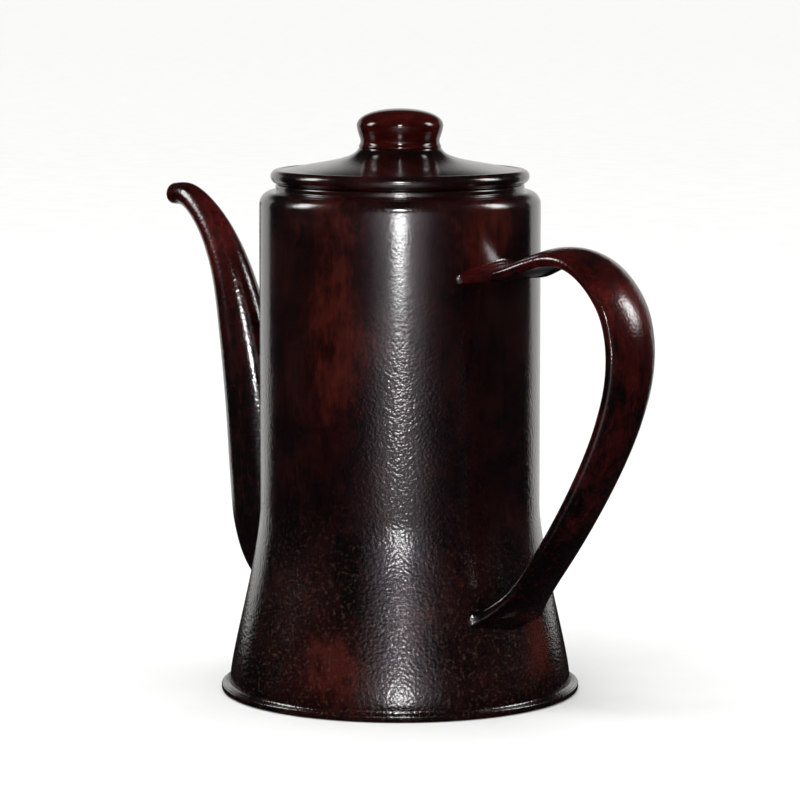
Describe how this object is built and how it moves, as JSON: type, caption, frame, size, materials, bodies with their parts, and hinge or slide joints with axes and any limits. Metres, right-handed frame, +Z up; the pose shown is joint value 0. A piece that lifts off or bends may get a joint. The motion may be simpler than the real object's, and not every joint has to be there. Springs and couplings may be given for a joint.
{
  "type": "coffee percolator",
  "caption": "Tall enamelled camping coffee percolator with a flared foot, slender curved spout, hollow strap handle, lift-off lid, pump stem and coffee basket.",
  "frame": {"origin": "centre of the flat base, in the plane the pot rests on", "axes": "+Z up along the pot's axis, +X towards the handle, -X towards the spout; the plane y = 0 is the plane of symmetry"},
  "size_m": [0.2149, 0.1178, 0.191],
  "materials": {
    "enamel_body": "glossy vitreous enamel, red-brown going to black",
    "enamel_fittings": "glossy vitreous enamel, redder where it is thin over the edges",
    "knob_moulding": "glossy moulded phenolic, red-brown",
    "brass_bush": "turned brass",
    "steel_fastener": "plain stainless steel",
    "aluminium_pump": "spun and drawn aluminium",
    "aluminium_basket": "pressed aluminium, perforated"
  },
  "bodies": {
    "pot": {"pot_body": "enamel_body", "base_plate": "enamel_body", "mouth_ring": "enamel_body", "spout": "enamel_fittings", "handle_shell": "enamel_fittings", "handle_back": "enamel_fittings", "handle_foot_upper": "enamel_fittings", "handle_foot_lower": "enamel_fittings"},
    "lid": {"lid_shell": "enamel_body", "lid_skirt": "enamel_body", "knob": "knob_moulding", "knob_insert": "brass_bush", "knob_washer": "steel_fastener", "knob_screw": "steel_fastener"},
    "pump": {"pump_tube": "aluminium_pump", "pump_base": "aluminium_pump", "valve_seat": "aluminium_pump", "stem_collar": "aluminium_pump"},
    "valve": {"valve_disc": "steel_fastener"},
    "basket": {"basket_cup": "aluminium_basket", "basket_sleeve": "aluminium_basket"},
    "cover": {"basket_cover": "aluminium_basket"}
  },
  "joints": [
    {"name": "lid_lift", "type": "slide", "parent": "pot", "child": "lid", "axis": [0, 0, 1], "range_m": [0, 0.3]},
    {"name": "pump_lift", "type": "slide", "parent": "pot", "child": "pump", "axis": [0, 0, 1], "range_m": [0, 0.175]},
    {"name": "basket_lift", "type": "slide", "parent": "pump", "child": "basket", "axis": [0, 0, 1], "range_m": [0, 0.065]},
    {"name": "cover_lift", "type": "slide", "parent": "basket", "child": "cover", "axis": [0, 0, 1], "range_m": [0, 0.03]},
    {"name": "valve_lift", "type": "slide", "parent": "pump", "child": "valve", "axis": [0, 0, 1], "range_m": [0, 0.0022]}
  ],
  "couplings": [
    {"joint": "pump_lift", "follows": "lid_lift", "ratio": 0.5833},
    {"joint": "basket_lift", "follows": "lid_lift", "ratio": 0.2166},
    {"joint": "cover_lift", "follows": "lid_lift", "ratio": 0.0999}
  ]
}
